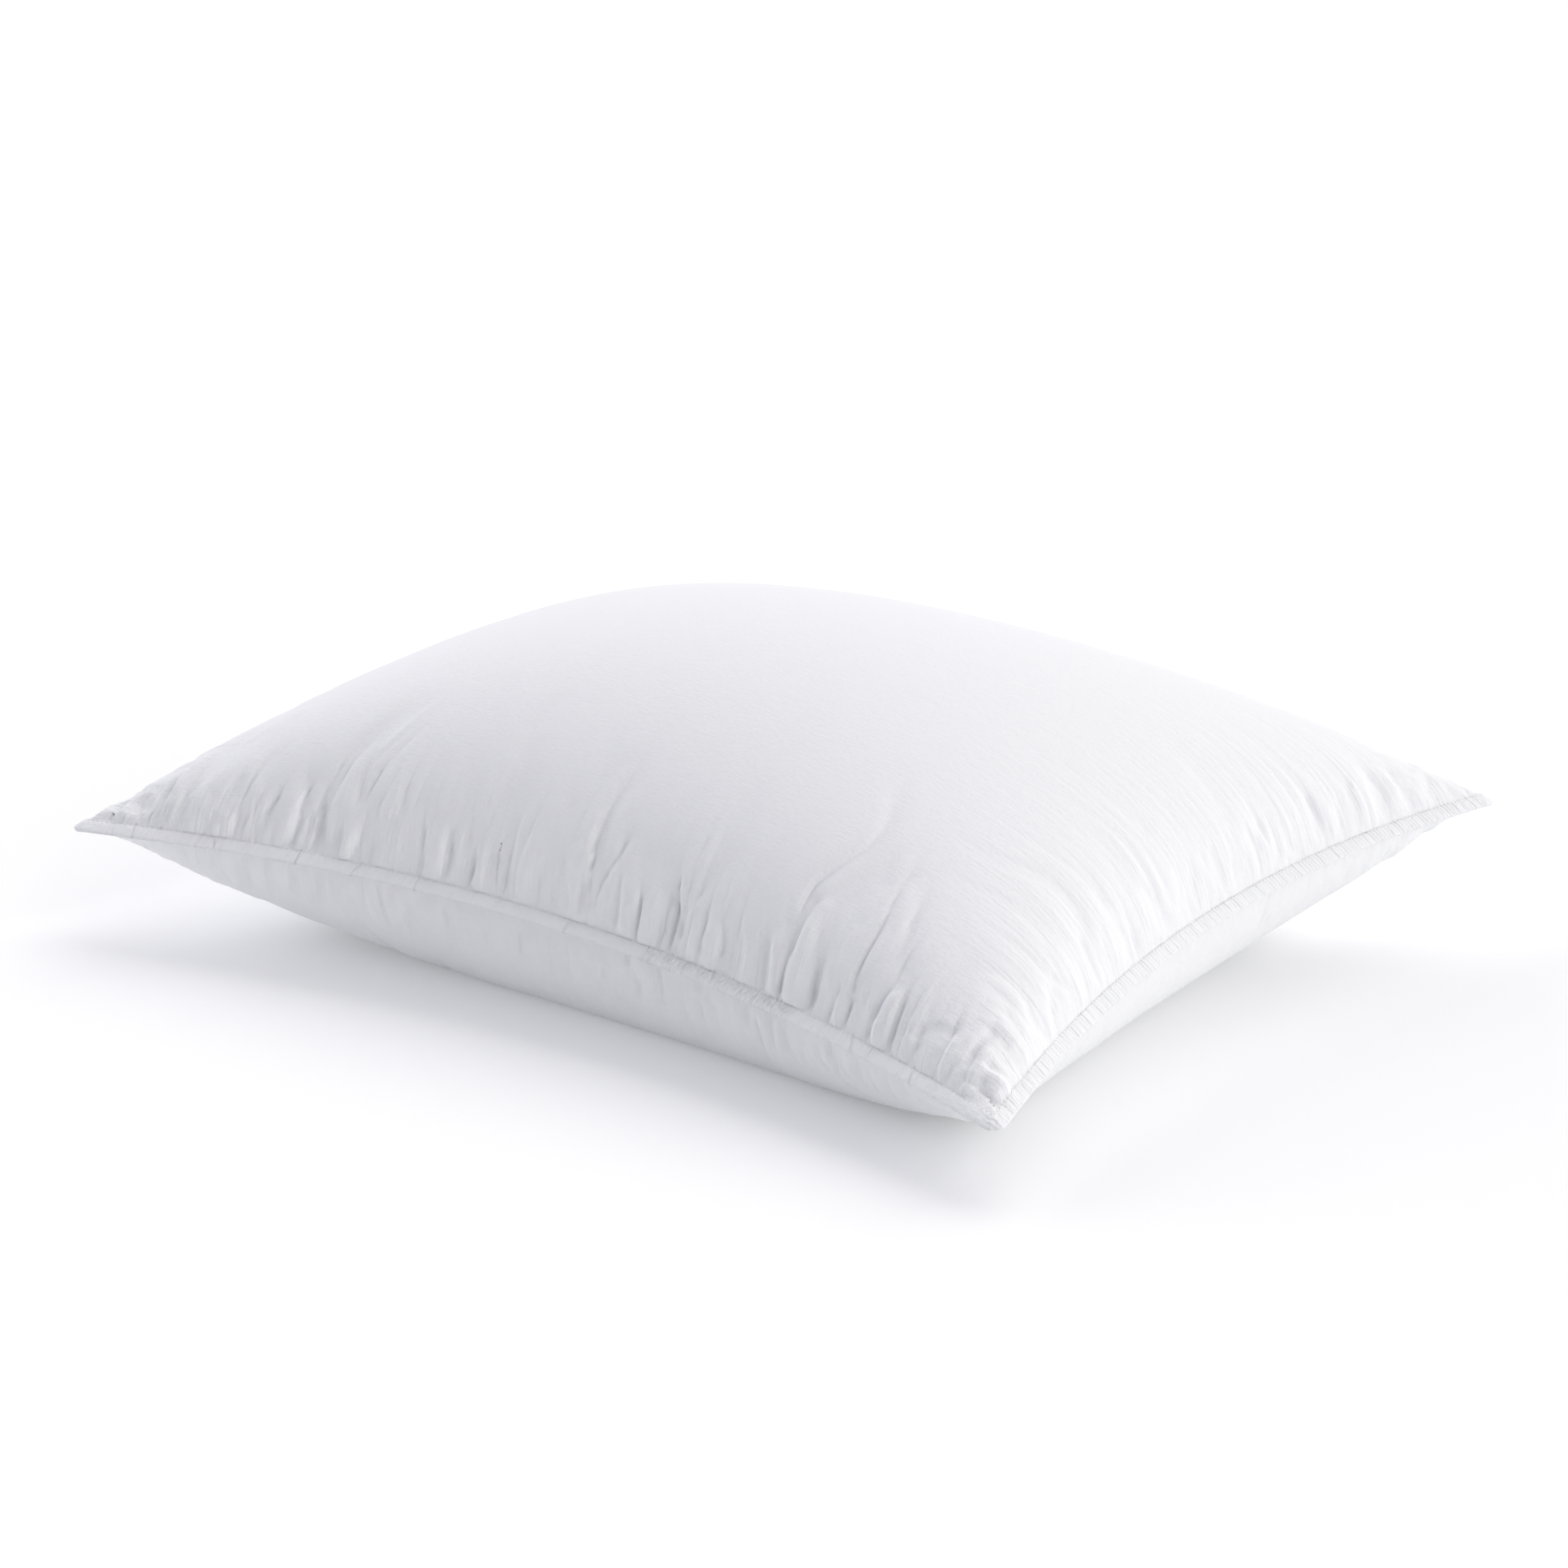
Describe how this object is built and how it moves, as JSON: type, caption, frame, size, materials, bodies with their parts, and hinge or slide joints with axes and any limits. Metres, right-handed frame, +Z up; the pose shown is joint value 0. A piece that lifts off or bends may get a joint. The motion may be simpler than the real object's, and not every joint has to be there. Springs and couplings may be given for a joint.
{
  "type": "bed pillow",
  "caption": "Rectangular bed pillow with a plain cotton shell, a flat topstitched flange all round, drawn-out corners and a plump soft filling.",
  "frame": {"origin": "middle of the pillow's footprint, on the surface it lies on", "axes": "+X along the long side, +Y along the short side away from the side with the closing seam, +Z up through the crown"},
  "size_m": [0.64, 0.5042, 0.189],
  "materials": {
    "cotton": "matte, closely woven",
    "thread": "matte, spun",
    "satin_ribbon": "slight sheen",
    "down": "matte, fluffy"
  },
  "bodies": {
    "root": {"top_panel": "cotton", "bottom_panel": "cotton", "down_filling": "down", "edge_seam_thread": "thread", "topstitch_needle_thread": "thread", "topstitch_bobbin_thread": "thread", "closing_seam_thread": "thread", "care_label": "satin_ribbon"}
  },
  "joints": []
}
